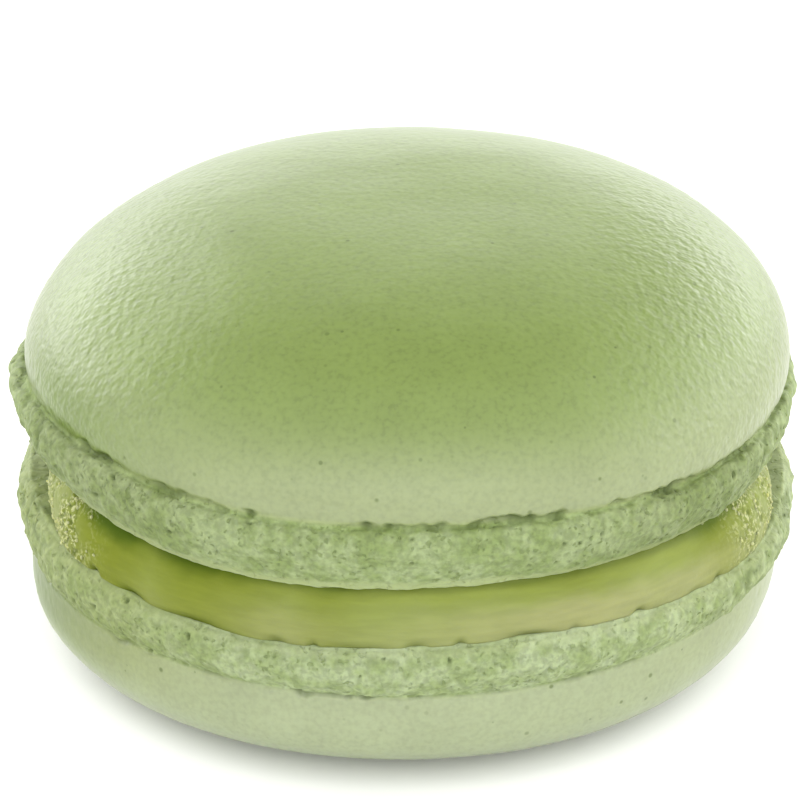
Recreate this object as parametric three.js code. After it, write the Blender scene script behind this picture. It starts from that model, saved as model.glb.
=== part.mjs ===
import * as THREE from 'three';
import { ImprovedNoise } from 'three/addons/math/ImprovedNoise.js';

// A French macaron: two baked almond shells, each a smooth domed cap on a ruffled foot,
// held together by a disc of soft filling. Lengths are in millimetres and +Z is up.
// The two flat faces look at each other, so the lower shell is the same form turned over.

const upperFaceHeight = 12.79; // underside of the upper shell above the table
const lowerFaceHeight = 9.41; // top side of the lower shell above the table
const upperShift = 0.22; // the upper shell sits this far to +X of the lower one
const faceGap = 0.3; // air between a shell's face and the filling
const flatFaceRadius = 14; // inside this a shell's face is level, outside it follows its wavy edge
const pinchRise = 0.6; // the lower edge stands up this much where the filling stops short of it
const pinchDraw = 1.35; // the filling lies this much further in there

// Each shell is drawn face down. Height 0 is its flat face and the cap is on top.
// A wave is a slow rise and fall round the shell: how many, how high, where it starts in radians.
// A pinch is a stretch where the filling stops short of the edge and the edge turns up: the angles
// where it starts, where it is full, where it starts to end and where it ends, in radians.
const upperShell = {
  footHeight: 3.7,
  capHeight: 9.6,
  edgeRadius: 21.4, // where the foot meets the lip
  footRadius: 22.3, // the foot's fullest
  fullness: 0.42, // below 1 the foot bulges squarely, at 1 it is a sine
  fullShare: 1.6, // above 1 the foot is fullest over its middle
  seamRadius: 21.65, // where the foot meets the cap
  capRadius: 21.85, // the cap's fullest, a little above the seam
  tuck: 0.4, // the cap pulls in this much down to the seam
  restRadius: 0, // a flat spot on the cap, none on this one
  flank: 2, // how upright the cap is above the seam, 2 being an ellipse
  crown: 3, // how flat the cap is on top, 2 being an ellipse
  lean: 0.25, // the cap's top leans this far to +X
  lipIn: 0.35, // the lip's rounding, inwards
  lipUp: 0.3, // and upwards
  edgeWaves: [
    { count: 1, height: 0.31, turn: 5.01 },
    { count: 2, height: 0.24, turn: 0.62 },
    { count: 3, height: 0.17, turn: 4.05 },
    { count: 4, height: 0.21, turn: 0.01 },
    { count: 5, height: 0.13, turn: 3.64 },
  ],
  seamWaves: [
    { count: 1, height: 0.17, turn: 4.28 },
    { count: 2, height: 0.15, turn: 0.11 },
    { count: 3, height: 0.05, turn: 2.92 },
    { count: 4, height: 0.09, turn: 6.17 },
    { count: 5, height: 0.12, turn: 2.48 },
  ],
  footWaves: [{ count: 1, height: 0.6, turn: 4.71 }], // the foot's lip spreads to one side
  capWaves: [{ count: 1, height: 0.1, turn: 4.71 }],
  pinches: [],
  grain: 11.3, // moves the relief, so that the two shells differ
};

const lowerShell = {
  footHeight: 3.17,
  capHeight: 6.24,
  edgeRadius: 21.75,
  footRadius: 22.25,
  fullness: 0.6,
  fullShare: 1,
  seamRadius: 21.55,
  capRadius: 21.52,
  tuck: 0,
  restRadius: 10, // the flat spot that the macaron stands on
  flank: 3.6,
  crown: 3.13,
  lean: -0.22,
  lipIn: 0.2,
  lipUp: 0.2,
  edgeWaves: [
    { count: 1, height: 0.15, turn: 0.82 },
    { count: 2, height: 0.06, turn: 6.1 },
    { count: 3, height: 0.08, turn: 1.33 },
    { count: 4, height: 0.13, turn: 0.02 },
    { count: 5, height: 0.08, turn: 4.34 },
  ],
  seamWaves: [
    { count: 1, height: 0.1, turn: 5.61 },
    { count: 2, height: 0.06, turn: 3.69 },
    { count: 4, height: 0.04, turn: 3.05 },
  ],
  footWaves: [{ count: 1, height: 0.11, turn: 1.57 }],
  capWaves: [],
  pinches: [
    { start: -0.7, full: -0.17, ending: 0.02, end: 0.37 },
    { start: 2.57, full: 3, ending: 3.32, end: 3.77 },
  ],
  grain: 47.9,
};

const filling = {
  topRadius: 20.8,
  bulgeRadius: 21.85,
  bottomRadius: 21.75, // flush with the lower foot's lip
  bulgeShare: 0.3, // height of the fullest ring, as a share of the thickness
  edgeRound: 0.2, // rounding where a face turns into the side
  sideRows: 5,
  swell: 0.14, // slow swelling of the side in and out
  swellSize: 3.1,
};

// Baked relief
const ruffleHeight = 0.5; // from a valley to the highest hill of the foot
const ruffleWidth = 2.1; // along the foot
const ruffleRise = 1.5; // up the foot
const ruffleMean = 0.22; // mean of the folded noise, taken off so that the foot keeps its radius
const bellyHeight = 0.22; // slower swelling of the foot in and out
const bellySize = 6.5;
const crackDepth = 0.28; // the seam's groove
const crackUneven = 0.4; // how much that depth changes
const crackHalf = 0.22; // half the groove's width
const footWaveTop = 0.35; // share of the foot's slow spread that is left at the seam
const tuckReach = 2.4; // the cap pulls in below this height over the seam
const leanEnd = 0.8; // share of the cap's height where it has leant over fully
const capSwell = 0.12; // slow unevenness of the cap
const capSwellSize = 8;

// Points round a ring. Each step is a whole ratio, so that neighbouring rings can be stitched.
const footCount = 192;
const footRows = 6;
const faceCounts = [1, 24, 48, 96];
const capCounts = [192, 96, 96, 96, 96, 96, 48, 48, 48, 48, 24, 24];
const restCounts = [24, 24, 1];
const fillingFaceCounts = [1, 24, 48, 96];
const fillingSideCount = 96;

const finishes = {
  upper_shell: { color: 0xa4b878, roughness: 0.5, metalness: 0 },
  filling: { color: 0xa3b25c, roughness: 0.4, metalness: 0 },
  lower_shell: { color: 0xb2c288, roughness: 0.5, metalness: 0 },
};

const noise = new ImprovedNoise();

// Noise from about -1 to 1 that changes over the given sizes.
function grainAt(point, wide, high, grain) {
  return noise.noise(point.x / wide + grain, point.y / wide + grain, point.z / high + grain);
}

function waveAt(angle, waves) {
  return waves.reduce((sum, wave) => sum + wave.height * Math.sin(wave.count * angle + wave.turn), 0);
}

function directionAt(angle) {
  return new THREE.Vector3(Math.cos(angle), Math.sin(angle), 0);
}

// 1 where a shell's edge is fully pinched, 0 where it is free.
function pinchAt(shell, angle) {
  return shell.pinches.reduce((most, { start, full, ending, end }) => {
    const middle = (start + end) / 2;
    const away = THREE.MathUtils.euclideanModulo(angle - middle + Math.PI, 2 * Math.PI) - Math.PI;
    const rising = THREE.MathUtils.smoothstep(away, start - middle, full - middle);
    const falling = THREE.MathUtils.smoothstep(away, ending - middle, end - middle);
    return Math.max(most, rising - falling);
  }, 0);
}

// How far a shell's edge lies from its flat face, towards its cap.
function edgeLift(shell, angle) {
  return waveAt(angle, shell.edgeWaves) - pinchRise * pinchAt(shell, angle);
}

// How far a shell's face rises at a place, to meet its edge.
function faceRise(shell, angle, radius) {
  const share = THREE.MathUtils.smoothstep(radius, flatFaceRadius, shell.edgeRadius);
  return share * edgeLift(shell, angle);
}

// The foot's side from the lip up to the seam, a shallow bulge.
class FootProfile extends THREE.Curve {
  constructor(shell) {
    super();
    this.shell = shell;
  }

  getPoint(share) {
    const { edgeRadius, seamRadius, footRadius, footHeight, lipUp, fullness, fullShare } = this.shell;
    const straight = THREE.MathUtils.lerp(edgeRadius, seamRadius, share);
    const bulge = footRadius - (edgeRadius + seamRadius) / 2;
    const radius = straight + bulge * Math.sin(Math.PI * share ** fullShare) ** fullness;
    return new THREE.Vector2(radius, THREE.MathUtils.lerp(lipUp, footHeight - crackHalf, share));
  }
}

// The cap from the seam to its top or to its flat spot, a superellipse that is tucked in below.
class CapProfile extends THREE.Curve {
  constructor(shell) {
    super();
    this.shell = shell;
  }

  getPoint(share) {
    const { capRadius, restRadius, footHeight, capHeight, flank, crown, tuck } = this.shell;
    const turn = (share * Math.PI) / 2;
    const round = restRadius + (capRadius - restRadius) * Math.cos(turn) ** (2 / crown);
    const height = crackHalf + (capHeight - crackHalf) * Math.sin(turn) ** (2 / flank);
    const radius = round - tuck * Math.max(0, 1 - height / tuckReach) ** 2;
    return new THREE.Vector2(radius, footHeight + height);
  }
}

// Rows of a flat disc from its middle outwards, all but the edge itself.
function discRows(counts, edgeRadius, row) {
  return counts.map((count, i) => ({ count, radius: (edgeRadius * i) / counts.length, ...row }));
}

// The rows of a shell from the middle of its face, out, up the foot and over the cap.
function shellRows(shell) {
  const faceEdge = shell.edgeRadius - shell.lipIn;
  const rows = discRows(faceCounts, faceEdge, { height: 0, part: 'face' });
  rows.push({ count: footCount, radius: faceEdge, height: 0, part: 'face' });
  for (const point of new FootProfile(shell).getSpacedPoints(footRows)) {
    rows.push({ count: footCount, radius: point.x, height: point.y, part: 'foot' });
  }
  rows.push({ count: footCount, radius: shell.seamRadius, height: shell.footHeight, part: 'crack' });
  const capPoints = new CapProfile(shell).getSpacedPoints(capCounts.length);
  capCounts.forEach((count, i) => {
    rows.push({ count, radius: capPoints[i].x, height: capPoints[i].y, part: 'cap' });
  });
  const top = { height: shell.footHeight + shell.capHeight, part: 'rest' };
  if (shell.restRadius > 0) {
    restCounts.forEach((count, i) => {
      const share = 1 - i / (restCounts.length - 1);
      rows.push({ count, radius: shell.restRadius * share, ...top });
    });
  } else {
    rows.push({ count: 1, radius: 0, ...top });
  }
  return rows;
}

// How much a row rises at an angle, from the edge and the wavy seam.
function shellLift(shell, row, angle) {
  if (row.part === 'face') {
    return faceRise(shell, angle, row.radius);
  }
  const footShare = THREE.MathUtils.clamp(row.height / shell.footHeight, 0, 1);
  const capShare = THREE.MathUtils.clamp((row.height - shell.footHeight) / shell.capHeight, 0, 1);
  const edge = (1 - footShare) * edgeLift(shell, angle);
  return edge + footShare * (1 - capShare) * waveAt(angle, shell.seamWaves);
}

// Relief of the foot, outwards from the axis: rounded hills with sharp valleys between them.
function footRelief(shell, row, point, angle) {
  const folded = Math.abs(grainAt(point, ruffleWidth, ruffleRise, shell.grain)) - ruffleMean;
  const belly = bellyHeight * grainAt(point, bellySize, bellySize, -shell.grain);
  const spread = THREE.MathUtils.lerp(1, footWaveTop, row.height / shell.footHeight);
  return ruffleHeight * folded + belly + spread * waveAt(angle, shell.footWaves);
}

// How far a place on the cap lies off the turned form: slow unevenness, a wider side and the lean.
function capRelief(shell, row, point, angle) {
  const share = (row.height - shell.footHeight) / shell.capHeight;
  const outward = directionAt(angle).multiplyScalar(row.radius / shell.capRadius);
  outward.z = share;
  const swell = capSwell * grainAt(point, capSwellSize, capSwellSize, shell.grain);
  const relief = outward.normalize().multiplyScalar(swell);
  relief.addScaledVector(directionAt(angle), (1 - share) * waveAt(angle, shell.capWaves));
  relief.x += shell.lean * THREE.MathUtils.smoothstep(share, 0, leanEnd);
  return relief;
}

function crackRelief(shell, point) {
  return -crackDepth - crackUneven * grainAt(point, ruffleWidth, ruffleRise, -shell.grain);
}

function shellPoint(shell, row, angle) {
  const across = directionAt(angle);
  const point = across.clone().multiplyScalar(row.radius);
  point.z = row.height + shellLift(shell, row, angle);
  if (row.part === 'foot') {
    point.addScaledVector(across, footRelief(shell, row, point, angle));
  } else if (row.part === 'crack') {
    point.addScaledVector(across, crackRelief(shell, point));
  } else if (row.part === 'cap') {
    point.add(capRelief(shell, row, point, angle));
  } else if (row.part === 'rest') {
    point.x += shell.lean;
  }
  return point;
}

// The filling's side from its bottom face up to its top face.
function fillingSideRadius(share) {
  const { bottomRadius, bulgeRadius, topRadius, bulgeShare } = filling;
  if (share < bulgeShare) {
    const turn = ((1 - share / bulgeShare) * Math.PI) / 2;
    return THREE.MathUtils.lerp(bottomRadius, bulgeRadius, Math.cos(turn));
  }
  const turn = (((share - bulgeShare) / (1 - bulgeShare)) * Math.PI) / 2;
  return THREE.MathUtils.lerp(topRadius, bulgeRadius, Math.cos(turn));
}

// Rows of the filling from the middle of its bottom face to the middle of its top face.
// Share is the height between the two shells' faces, 0 at the lower one.
function fillingRows() {
  const bottomEdge = filling.bottomRadius - filling.edgeRound;
  const topEdge = filling.topRadius - filling.edgeRound;
  const rows = discRows(fillingFaceCounts, bottomEdge, { share: 0 });
  rows.push({ count: fillingSideCount, radius: bottomEdge, share: 0 });
  for (let i = 0; i < filling.sideRows; i += 1) {
    const share = (i + 0.5) / filling.sideRows;
    rows.push({ count: fillingSideCount, radius: fillingSideRadius(share), share });
  }
  rows.push({ count: fillingSideCount, radius: topEdge, share: 1 });
  return rows.concat(discRows(fillingFaceCounts, topEdge, { share: 1 }).reverse());
}

// The shells' faces bound the filling. The lower shell is turned over about X, which mirrors its angles.
function fillingPoint(row, angle) {
  const drawn = (pinchDraw * pinchAt(lowerShell, -angle) * row.radius) / filling.bulgeRadius;
  const radius = row.radius - drawn;
  const bottom = lowerFaceHeight - faceRise(lowerShell, -angle, radius) + faceGap;
  const top = upperFaceHeight + faceRise(upperShell, angle, radius) - faceGap;
  const across = directionAt(angle);
  const point = across.clone().multiplyScalar(radius);
  point.z = THREE.MathUtils.lerp(bottom, top, row.share);
  if (row.share > 0 && row.share < 1) {
    const swell = filling.swell * grainAt(point, filling.swellSize, filling.swellSize, upperShell.grain);
    point.addScaledVector(across, swell);
  }
  return point;
}

// Triangles between two neighbouring rings, whose counts are in a whole ratio.
// Rings run anticlockwise seen from above and the second ring is further along the profile.
function stitch(first, second, addTriangle) {
  const widening = first.count <= second.count;
  const coarse = Math.min(first.count, second.count);
  const ratio = Math.max(first.count, second.count) / coarse;
  const middle = Math.floor(ratio / 2);
  const firstAt = (i) => first.start + (i % first.count);
  const secondAt = (i) => second.start + (i % second.count);
  for (let j = 0; j < coarse; j += 1) {
    for (let k = 0; k < ratio; k += 1) {
      const fine = j * ratio + k;
      const side = k < middle ? j : j + 1;
      if (widening) {
        addTriangle(firstAt(side), secondAt(fine + 1), secondAt(fine));
      } else {
        addTriangle(firstAt(fine), firstAt(fine + 1), secondAt(side));
      }
    }
    const fine = j * ratio + middle;
    if (widening) {
      addTriangle(firstAt(j), firstAt(j + 1), secondAt(fine));
    } else {
      addTriangle(firstAt(fine), secondAt(j + 1), secondAt(j));
    }
  }
}

// One closed body from rows of points, each row a ring round the axis. A ring of one point is a pole.
function turnedSolid(rows, pointAt) {
  const positions = [];
  const index = [];
  const rings = rows.map((row) => {
    const start = positions.length / 3;
    for (let i = 0; i < row.count; i += 1) {
      positions.push(...pointAt(row, (2 * Math.PI * i) / row.count).toArray());
    }
    return { start, count: row.count };
  });
  const addTriangle = (a, b, c) => {
    if (a !== b && b !== c && c !== a) {
      index.push(a, b, c);
    }
  };
  for (let i = 1; i < rings.length; i += 1) {
    stitch(rings[i - 1], rings[i], addTriangle);
  }
  const geometry = new THREE.BufferGeometry();
  geometry.setAttribute('position', new THREE.Float32BufferAttribute(positions, 3));
  geometry.setIndex(index);
  geometry.computeVertexNormals();
  return geometry;
}

function food(name, geometry) {
  const mesh = new THREE.Mesh(geometry, new THREE.MeshStandardMaterial(finishes[name]));
  mesh.name = name;
  return mesh;
}

function shellGeometry(shell) {
  return turnedSolid(shellRows(shell), (row, angle) => shellPoint(shell, row, angle));
}

function makeMacaron() {
  const top = food('upper_shell', shellGeometry(upperShell));
  top.position.set(upperShift, 0, upperFaceHeight);
  const middle = food('filling', turnedSolid(fillingRows(), fillingPoint));
  const bottom = food('lower_shell', shellGeometry(lowerShell));
  bottom.position.z = lowerFaceHeight;
  bottom.rotation.x = Math.PI;
  const macaron = new THREE.Group();
  macaron.add(top, middle, bottom);
  return macaron;
}

// The origin is the middle of the underside of the whole macaron's box.
function onOrigin(object) {
  const box = new THREE.Box3().setFromObject(object, true);
  const centre = box.getCenter(new THREE.Vector3());
  object.position.set(-centre.x, -centre.y, -box.min.z);
  const group = new THREE.Group();
  group.add(object);
  return group;
}

export default onOrigin(makeMacaron());
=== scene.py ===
import math

import bpy
import numpy as np
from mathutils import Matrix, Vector


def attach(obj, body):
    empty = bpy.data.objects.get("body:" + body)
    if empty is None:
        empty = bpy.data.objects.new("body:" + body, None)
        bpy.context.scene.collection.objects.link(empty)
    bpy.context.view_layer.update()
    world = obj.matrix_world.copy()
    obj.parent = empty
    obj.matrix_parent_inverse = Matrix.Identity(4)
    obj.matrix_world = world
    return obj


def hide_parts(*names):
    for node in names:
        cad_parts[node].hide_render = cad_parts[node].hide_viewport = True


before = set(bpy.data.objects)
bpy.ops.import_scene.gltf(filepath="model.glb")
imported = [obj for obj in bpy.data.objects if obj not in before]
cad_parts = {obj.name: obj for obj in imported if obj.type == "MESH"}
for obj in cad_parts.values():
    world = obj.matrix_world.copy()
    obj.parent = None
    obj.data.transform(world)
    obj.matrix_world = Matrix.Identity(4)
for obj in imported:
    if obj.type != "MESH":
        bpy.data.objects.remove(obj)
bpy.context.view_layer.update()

mm = 0.001


def facePole(node, facesUp):
    # the middle of a shell's flat face: where its axis stands, and the height of the face
    places = np.array([corner.co[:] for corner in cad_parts[node].data.vertices]) / mm
    nearAxis = places[np.hypot(places[:, 0], places[:, 1]) < 1]
    pole = nearAxis[nearAxis[:, 2].argmax() if facesUp else nearAxis[:, 2].argmin()]
    return pole[:2], pole[2]


def addObject(name, data):
    thing = bpy.data.objects.new(name, data)
    bpy.context.scene.collection.objects.link(thing)
    return thing


# Camera, lights and table

lowerAxis, lowerFace = facePole("lower_shell", True)
upperAxis, upperFace = facePole("upper_shell", False)

cameraLook = {
    "distance": 286.0,  # from the middle of the macaron
    "middleHeight": 12.0,
    "elevation": 25.88,
    "rightOfAxis": 0.12,  # the camera's line, from the lower shell's axis
    "frontOfAxis": 0.16,
    "aimLeft": 0.39,
    "aimHeight": 13.8,
    "lens": 224.27,
    "sensor": 36.0,
    "nearest": 0.01,  # that it sees, in metres
    "farthest": 20.0,
}


def makeCamera():
    look = cameraLook
    rise = math.radians(look["elevation"])
    base = Vector((lowerAxis[0] + look["rightOfAxis"], lowerAxis[1] - look["frontOfAxis"], 0))
    away = Vector((0, -math.cos(rise), math.sin(rise))) * look["distance"]
    place = (base + away + Vector((0, 0, look["middleHeight"]))) * mm
    aim = (base + Vector((-look["aimLeft"], 0, look["aimHeight"]))) * mm
    data = bpy.data.cameras.new("camera")
    data.lens = look["lens"]
    data.sensor_width = look["sensor"]
    data.clip_start = look["nearest"]
    data.clip_end = look["farthest"]
    camera = addObject("camera", data)
    camera.location = place
    camera.rotation_euler = (aim - place).to_track_quat("-Z", "Y").to_euler()
    bpy.context.scene.camera = camera


makeCamera()
print("camera stands")


# Small helpers for node trees

def addNode(tree, kind, plugs=None, **settings):
    node = tree.nodes.new(kind)
    for name, value in settings.items():
        setattr(node, name, value)
    for name, value in (plugs or {}).items():
        if isinstance(value, bpy.types.NodeSocket):
            tree.links.new(value, node.inputs[name])
        else:
            node.inputs[name].default_value = value
    return node


def outputOf(tree, kind, plugs=None, **settings):
    return addNode(tree, kind, plugs, **settings).outputs[0]


def calc(operation, *values):
    # more than two values are taken one after another from the left
    if len(values) > 2:
        values = (calc(operation, *values[:-1]), values[-1])
    tree = next(value.id_data for value in values if isinstance(value, bpy.types.NodeSocket))
    return outputOf(tree, "ShaderNodeMath", dict(enumerate(values)), operation=operation)


def total(*values):
    return calc("ADD", *values)


def minus(*values):
    return calc("SUBTRACT", *values)


def times(*values):
    return calc("MULTIPLY", *values)


def larger(*values):
    return calc("MAXIMUM", *values)


def inverse(tree, size):
    return outputOf(tree, "ShaderNodeMath", {0: 1.0, 1: size}, operation="DIVIDE")


def calcVector(operation, first, second):
    plugs = {0: first, 1: second}
    return outputOf(first.id_data, "ShaderNodeVectorMath", plugs, operation=operation)


def scaled(vector, factor):
    plugs = {0: vector, "Scale": factor}
    return outputOf(vector.id_data, "ShaderNodeVectorMath", plugs, operation="SCALE")


def vectorOf(tree, *parts):
    return outputOf(tree, "ShaderNodeCombineXYZ", dict(enumerate(parts)))


def sideways(vector):
    return outputOf(vector.id_data, "ShaderNodeSeparateXYZ", {0: vector})


def fade(value, start, end, low=0.0, high=1.0):
    # goes smoothly from low at start to high at end
    plugs = {0: value, 1: start, 2: end, 3: low, 4: high}
    return outputOf(value.id_data, "ShaderNodeMapRange", plugs, interpolation_type="SMOOTHSTEP")


shiftDirection = (1.0, 1.7, 2.3)  # a shifted pattern moves along none of the axes
holeSizes = (0.45, 1.15)  # the smallest and largest hole, as shares of the radius asked for
holeFloor = 0.35  # share of a hole's radius where it is deepest


def shifted(place, distance):
    return calcVector("ADD", place, tuple(distance * step for step in shiftDirection))


def grain(place, size, detail=1.0, shift=0.0):
    # cloudy noise from 0 to 1 with lumps of about this size; a shift keeps two patterns from lying alike
    if shift:
        place = shifted(place, shift)
    tree = place.id_data
    plugs = {"Vector": place, "Scale": inverse(tree, size), "Detail": detail}
    return addNode(tree, "ShaderNodeTexNoise", plugs).outputs["Fac"]


def squeezed(place, width, rise):
    # noise of size 1 here has lumps this wide and this high
    tree = place.id_data
    across = inverse(tree, width)
    return calcVector("MULTIPLY", place, vectorOf(tree, across, across, inverse(tree, rise)))


def bubbles(place, spacing, radius, missing=0.0):
    # 1 inside scattered round holes of uneven size, 0 outside; missing is the share of cells without one
    tree = place.id_data
    cells = addNode(tree, "ShaderNodeTexVoronoi", {"Vector": place, "Scale": inverse(tree, spacing)})
    chance = sideways(cells.outputs["Color"])
    reach = times(radius, fade(chance, missing, 1.0, *holeSizes), calc("GREATER_THAN", chance, missing))
    away = times(cells.outputs["Distance"], spacing)
    return fade(away, reach, times(reach, holeFloor))


# Turned meshes: rings round an axis, in millimetres

def smoothstep(values, start, end):
    share = np.clip((values - start) / (end - start), 0, 1)
    return share * share * (3 - 2 * share)


def waveAt(angles, waves):
    return sum(height * np.sin(count * angles + turn) for count, height, turn in waves)


def alongPath(path, stops):
    # points of a dense path at these distances from its start
    steps = np.hypot(*np.diff(path, axis=0).T)
    travelled = np.concatenate([[0], np.cumsum(steps)])
    return np.stack([np.interp(stops, travelled, path[:, i]) for i in range(path.shape[1])], axis=1)


def pathLength(path):
    return np.hypot(*np.diff(path, axis=0).T).sum()


def stitchRings(starts, counts):
    # faces between neighbouring rings, whose counts are equal, doubled or halved, or 1 at a pole
    faces = []
    rings = list(zip(starts, counts))
    for (a, m), (b, n) in zip(rings, rings[1:]):
        j = np.arange(max(m, n) if 1 in (m, n) else min(m, n))
        k = (j + 1) % len(j)
        if m == n:
            corners = [(a + j, a + k, b + k, b + j)]
        elif m == 1:
            corners = [(a + 0 * j, b + k, b + j)]
        elif n == 1:
            corners = [(a + j, a + k, b + 0 * j)]
        elif m < n:
            left, mid, right = b + 2 * j, b + 2 * j + 1, b + 2 * k
            corners = [(a + j, mid, left), (a + j, a + k, mid), (a + k, right, mid)]
        else:
            left, mid, right = a + 2 * j, a + 2 * j + 1, a + 2 * k
            corners = [(left, mid, b + j), (b + j, mid, b + k), (mid, right, b + k)]
        for corner in corners:
            faces += np.stack(corner, axis=1).tolist()
    return faces


def meshPiece(name, points, faces, traits):
    mesh = bpy.data.meshes.new(name)
    mesh.from_pydata((points * mm).tolist(), [], faces)
    for trait, values in traits.items():
        mesh.attributes.new(trait, "FLOAT", "POINT").data.foreach_set("value", values.astype(np.float32))
    mesh.shade_smooth()
    return addObject(name, mesh)


def meshFromRings(name, rings):
    # each ring is its points and their traits; the first and the last ring are single points
    counts = [len(points) for points, traits in rings]
    starts = np.cumsum([0] + counts[:-1]).tolist()
    points = np.concatenate([points for points, traits in rings])
    traits = {key: np.concatenate([traits[key] for points, traits in rings]) for key in rings[0][1]}
    return meshPiece(name, points, stitchRings(starts, counts), traits)


def innerRings(columns, halvings, reach):
    # a flat face's rings from its middle to where it has all its columns: their counts and radii
    steps = range(1, halvings + 1)
    return [(1, 0.0)] + [(columns // 2 ** (halvings - i), reach * i / (halvings + 1)) for i in steps]


# The two shells

# A wave is how many rise round the shell, how high, and where it starts in radians.
# A spot is the bearing from the front in degrees, its half length in degrees, and how strong it is.
# Spots say where the seam is cracked, the foot bubbly, the colour above the seam darkened by painted shade
# and the cap turned more green by painted shade.
# A pinch is where the filling stops short of the edge: start, full, ending and end, in radians.
upperShell = {
    "reliefShift": 11.3,  # makes the two shells' relief differ
    "footHeight": 3.7,
    "capHeight": 9.6,
    "edgeRadius": 21.4,  # where the foot meets the lip
    "footRadius": 22.3,
    "fullness": 0.42,  # a low one makes the foot's side upright
    "fullShare": 1.6,
    "seamRadius": 21.65,
    "capRadius": 21.85,
    "tuck": 0.2,  # how far the cap pulls in at the seam
    "restRadius": 0.0,  # of a flat spot to stand on
    "flank": 2.0,
    "crown": 3.0,
    "fineFace": 0.0,  # how far in from the lip the face is fine enough for froth
    "lean": 0.25,
    "lipIn": 0.35,
    "lipUp": 0.3,
    "edgeWaves": [(1, 0.31, 5.01), (2, 0.24, 0.62), (3, 0.17, 4.05), (4, 0.21, 0.01), (5, 0.13, 3.64)],
    "seamWaves": [(1, 0.17, 4.28), (2, 0.15, 0.11), (3, 0.05, 2.92), (4, 0.09, 6.17), (5, 0.12, 2.48)],
    "footWaves": [(1, 0.6, 4.71)],
    "capWaves": [(1, 0.1, 4.71)],
    "pinches": [],
    "crack": [(-54, 1.2, 0.8), (-51, 5, 0.7), (-48.5, 1, 0.8), (-36.5, 4, 0.7), (-29, 2.5, 0.55),
              (-23, 1, 0.6), (-6, 1.2, 0.6), (-3, 1, 0.6), (0.5, 7, 0.45), (5, 1, 0.55), (14, 6, 0.65),
              (17.5, 1.5, 0.8), (21.5, 1.5, 0.85), (31.6, 1.2, 0.6), (39.5, 4, 0.7), (41, 1.5, 0.85),
              (45, 1, 0.6), (55, 6, 0.5), (75, 9, 0.6), (98, 5, 0.9), (119, 7, 0.5), (140, 3, 0.9),
              (171, 8, 0.7), (176, 1, 1.0), (208, 5, 0.5), (231, 3, 0.9), (246, 6, 0.6), (274, 5, 0.6)],
    "bubbly": [(-66, 12, 1.0), (64, 11, 1.0), (112, 14, 0.5), (158, 10, 0.8), (228, 14, 0.6)],
    "paintedShade": [(-52, 24, 1.0), (48, 20, 1.3), (130, 25, 0.7), (215, 20, 0.9)],
    "rimShade": [(-62, 24, 1.0), (120, 15, 0.5), (190, 30, 0.7)],
}

lowerShell = {
    "reliefShift": 47.9,
    "footHeight": 3.17,
    "capHeight": 6.24,
    "edgeRadius": 21.75,
    "footRadius": 22.25,
    "fullness": 0.6,
    "fullShare": 1.0,
    "seamRadius": 21.55,
    "capRadius": 21.52,
    "tuck": 0.0,
    "restRadius": 10.0,
    "flank": 3.6,
    "crown": 3.13,
    "fineFace": 2.6,
    "lean": -0.22,
    "lipIn": 0.2,
    "lipUp": 0.2,
    "edgeWaves": [(1, 0.15, 0.82), (2, 0.06, 6.1), (3, 0.08, 1.33), (4, 0.13, 0.02), (5, 0.08, 4.34)],
    "seamWaves": [(1, 0.1, 5.61), (2, 0.06, 3.69), (4, 0.04, 3.05)],
    "footWaves": [(1, 0.11, 1.57)],
    "capWaves": [],
    "pinches": [(-0.7, -0.17, 0.02, 0.37), (2.57, 3.0, 3.32, 3.77)],
    "crack": [(-12.5, 4, 0.5), (-15.5, 0.8, 0.6), (-13.5, 0.8, 0.6), (-8, 0.8, 0.6), (-5.5, 1.5, 0.8),
              (8, 10, 0.25), (26, 3, 0.4), (35, 2, 0.4), (-30, 3, 0.3), (-45, 4, 0.35), (80, 8, 0.5),
              (125, 5, 0.7), (160, 7, 0.5), (200, 9, 0.6), (250, 6, 0.7), (290, 5, 0.4)],
    "bubbly": [(-76, 16, 1.0), (-104, 18, 0.8), (59, 8, 0.9), (78, 14, 1.0), (104, 18, 0.8),
               (150, 9, 0.5), (215, 14, 0.7)],
    "paintedShade": [(-62, 26, 1.6), (60, 20, 0.6), (110, 20, 0.8), (190, 30, 0.7), (250, 20, 1.0)],
    "rimShade": [(-74, 19, 1.0), (150, 22, 0.6), (215, 14, 0.5)],
}

shellMesh = {
    "flatFaceRadius": 14.0,
    "crackHalf": 0.22,
    "tuckReach": 2.4,  # the cap pulls in below this height over the seam
    "footWaveTop": 0.35,  # share of the foot's slow spread that is left at the seam
    "leanEnd": 0.8,
    "pinchRise": 0.6,  # how much a pinch closes the gap between the shells
    "pinchDraw": 1.35,  # how far the filling draws in there
    "footPoints": 400,
    "capPoints": 1500,
    "cornerPoints": 20,
    "cornerRows": 4,
    "footColumns": 1280,
    "footStep": 0.105,  # between rows
    "fineCap": 0.55,  # the cap keeps the foot's fineness this far above the seam
    "halfFineCap": 1.5,
    "halfFineRows": 5,
    "capStep": 0.4,
    "restOverlap": 0.001,  # of the flat spot and the cap
    "faceStep": 0.17,
    "faceHalvings": 8,
    "closestColumns": 0.20625,  # further in, columns are halved where they come closer
    "fewestColumns": 10,
    "tableGap": 0.004,
}


def footPath(shell):
    # the side of the foot from its lip up to the seam, bulging
    edge, seam = shell["edgeRadius"], shell["seamRadius"]
    share = np.linspace(0, 1, shellMesh["footPoints"])
    bulge = shell["footRadius"] - (edge + seam) / 2
    radius = edge + (seam - edge) * share
    radius = radius + bulge * np.sin(np.pi * share ** shell["fullShare"]).clip(0) ** shell["fullness"]
    top = shell["footHeight"] - shellMesh["crackHalf"]
    return np.stack([radius, shell["lipUp"] + (top - shell["lipUp"]) * share], axis=1)


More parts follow.
